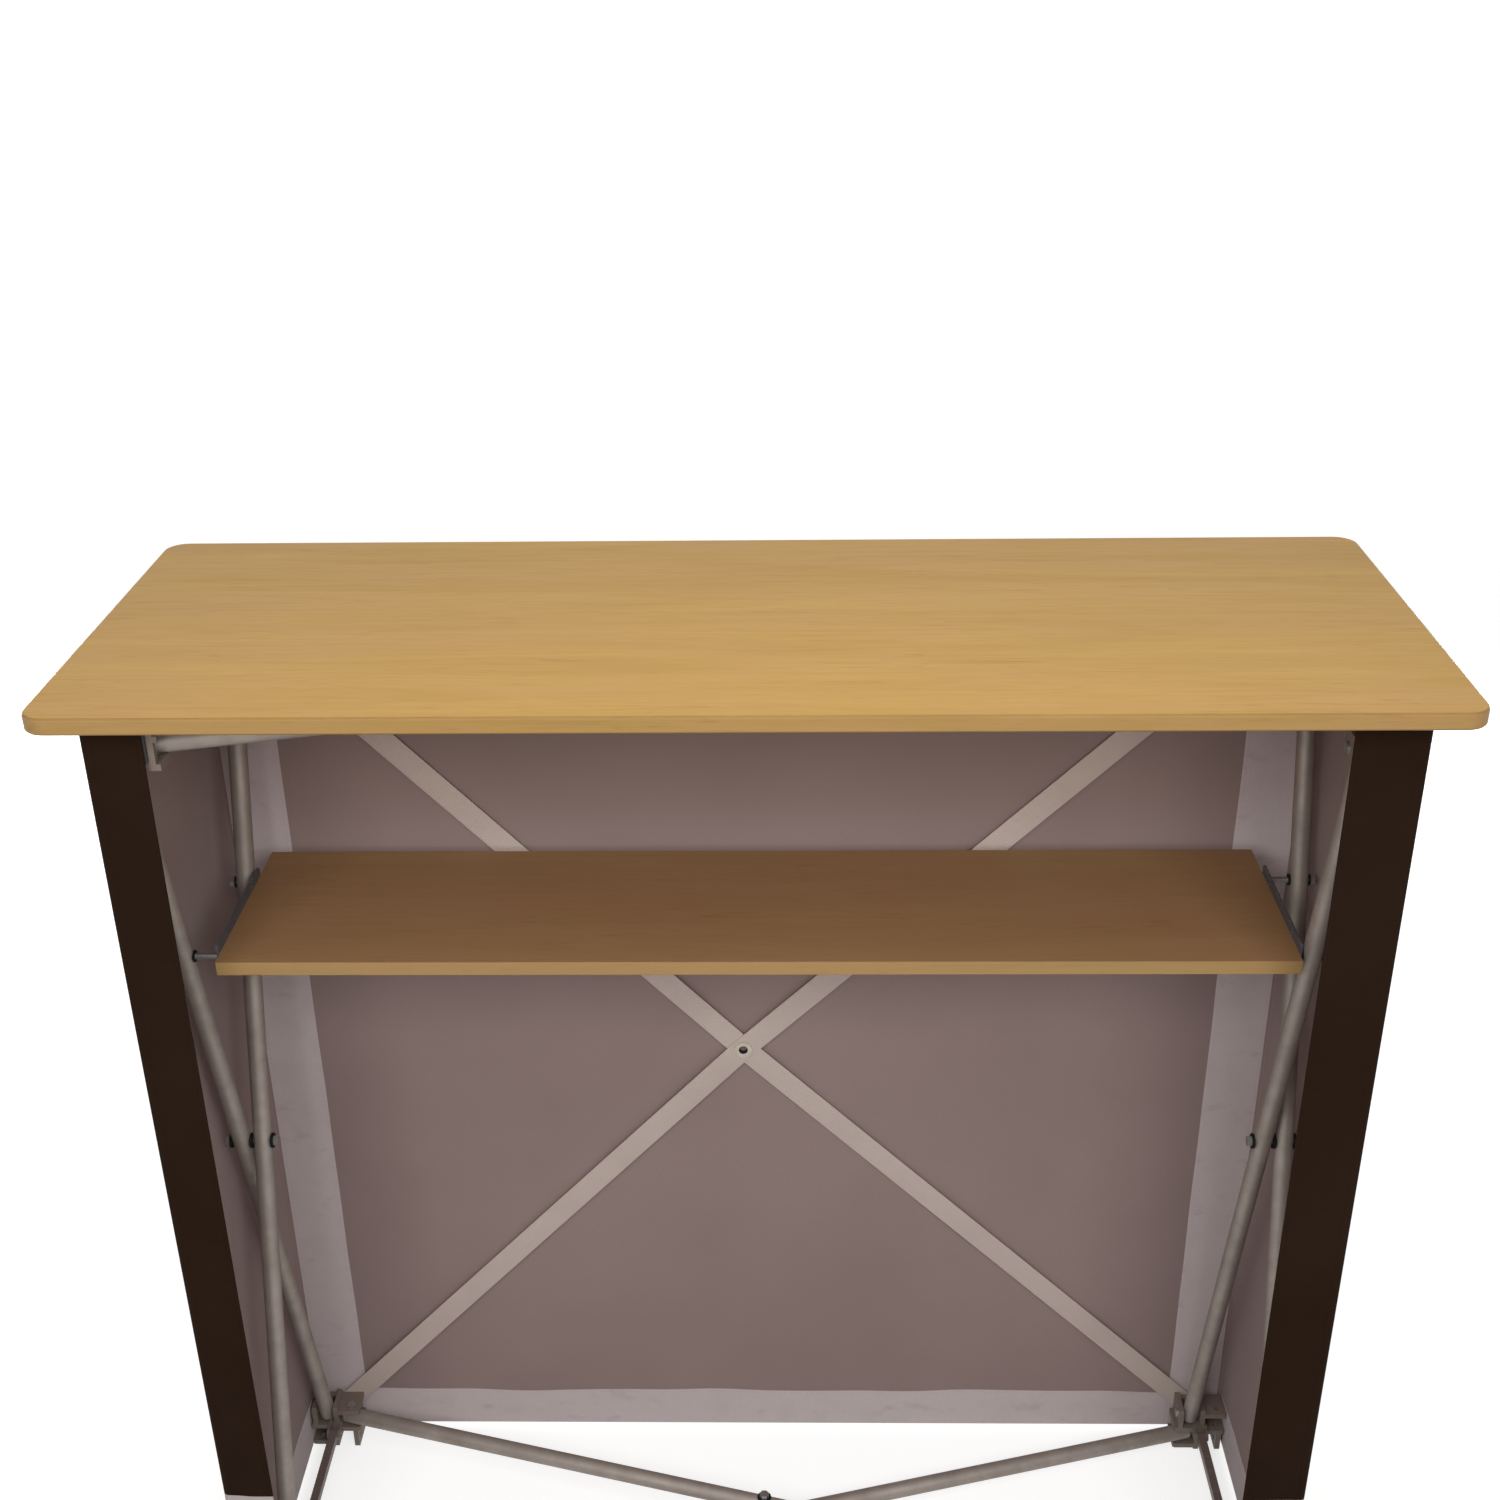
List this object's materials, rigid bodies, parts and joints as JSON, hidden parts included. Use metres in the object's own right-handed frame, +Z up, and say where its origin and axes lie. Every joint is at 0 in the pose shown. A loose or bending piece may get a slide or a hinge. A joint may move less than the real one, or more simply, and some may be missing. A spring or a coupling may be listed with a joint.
{
  "type": "exhibition counter",
  "caption": "Pop-up exhibition counter: a locked tube scissor frame in a fabric wrap that is open at the rear, with a lift-off laminate top and a hung inner shelf.",
  "frame": {"origin": "on the floor, under the middle of the counter", "axes": "+X to the server's right, +Y towards the public, +Z up"},
  "size_m": [1, 0.372, 0.961],
  "materials": {
    "maple_laminate": "satin maple laminate",
    "shelf_laminate": "satin maple laminate",
    "tube_aluminium": "satin anodised",
    "hub_nylon": "moulded, fine texture",
    "plug_nylon": "moulded",
    "steel": "zinc plated",
    "black_rubber": "matte",
    "bracket_paint": "grey powder coat",
    "lock_bar_paint": "grey powder coat",
    "wrap_fabric": "knitted polyester, dark brown face",
    "loop_tape": "brushed loop",
    "hook_tape": "hook tape",
    "webbing": "woven webbing"
  },
  "bodies": {
    "frame": {"hub_front_bottom_left": "hub_nylon", "hub_front_bottom_right": "hub_nylon", "hub_front_top_left": "hub_nylon", "hub_front_top_right": "hub_nylon", "hub_rear_bottom_left": "hub_nylon", "hub_rear_bottom_right": "hub_nylon", "hub_rear_top_left": "hub_nylon", "hub_rear_top_right": "hub_nylon", "tube_left_outer": "tube_aluminium", "tube_left_inner": "tube_aluminium", "tube_right_inner": "tube_aluminium", "tube_right_outer": "tube_aluminium", "tube_base_upper": "tube_aluminium", "tube_base_lower": "tube_aluminium", "tube_top_upper": "tube_aluminium", "tube_top_lower": "tube_aluminium", "wrap_front": "wrap_fabric", "wrap_side_left": "wrap_fabric", "wrap_side_right": "wrap_fabric", "front_tape_left": "loop_tape", "front_tape_right": "loop_tape", "front_tape_bottom": "loop_tape", "front_tape_top": "loop_tape", "side_tapes": "loop_tape", "return_tapes": "loop_tape", "strap_rising": "webbing", "strap_falling": "webbing", "hook_pads_front": "hook_tape", "hook_pads_rear": "hook_tape", "tube_end_plugs": "plug_nylon", "hub_pins": "steel", "pivot_bolts": "steel", "pivot_nuts": "steel", "pivot_spacers": "black_rubber", "lock_pins": "steel", "strap_rivet": "steel", "strap_keepers": "plug_nylon", "shelf_bolts": "steel", "shelf_bolt_washers": "black_rubber", "lock_bar_rear_left": "lock_bar_paint", "lock_bar_rear_right": "lock_bar_paint"},
    "top": {"top_board": "maple_laminate"},
    "shelf": {"shelf_board": "shelf_laminate", "shelf_bracket_left": "bracket_paint", "shelf_bracket_right": "bracket_paint", "bracket_screws": "steel"},
    "lock_left": {"lock_bar_front_left": "lock_bar_paint"},
    "lock_right": {"lock_bar_front_right": "lock_bar_paint"}
  },
  "joints": [
    {"name": "top_lift", "type": "slide", "parent": "frame", "child": "top", "axis": [0, 0, 1], "range_m": [0, 0.15]},
    {"name": "shelf_lift", "type": "slide", "parent": "frame", "child": "shelf", "axis": [0, 0, 1], "range_m": [0, 0.06]},
    {"name": "lock_left_swing", "type": "hinge", "parent": "frame", "child": "lock_left", "pos_m": [-0.448, 0.102, 0.026], "axis": [-1, 0, 0], "range_deg": [0, 60]},
    {"name": "lock_right_swing", "type": "hinge", "parent": "frame", "child": "lock_right", "pos_m": [0.448, 0.102, 0.026], "axis": [-1, 0, 0], "range_deg": [0, 60]}
  ]
}
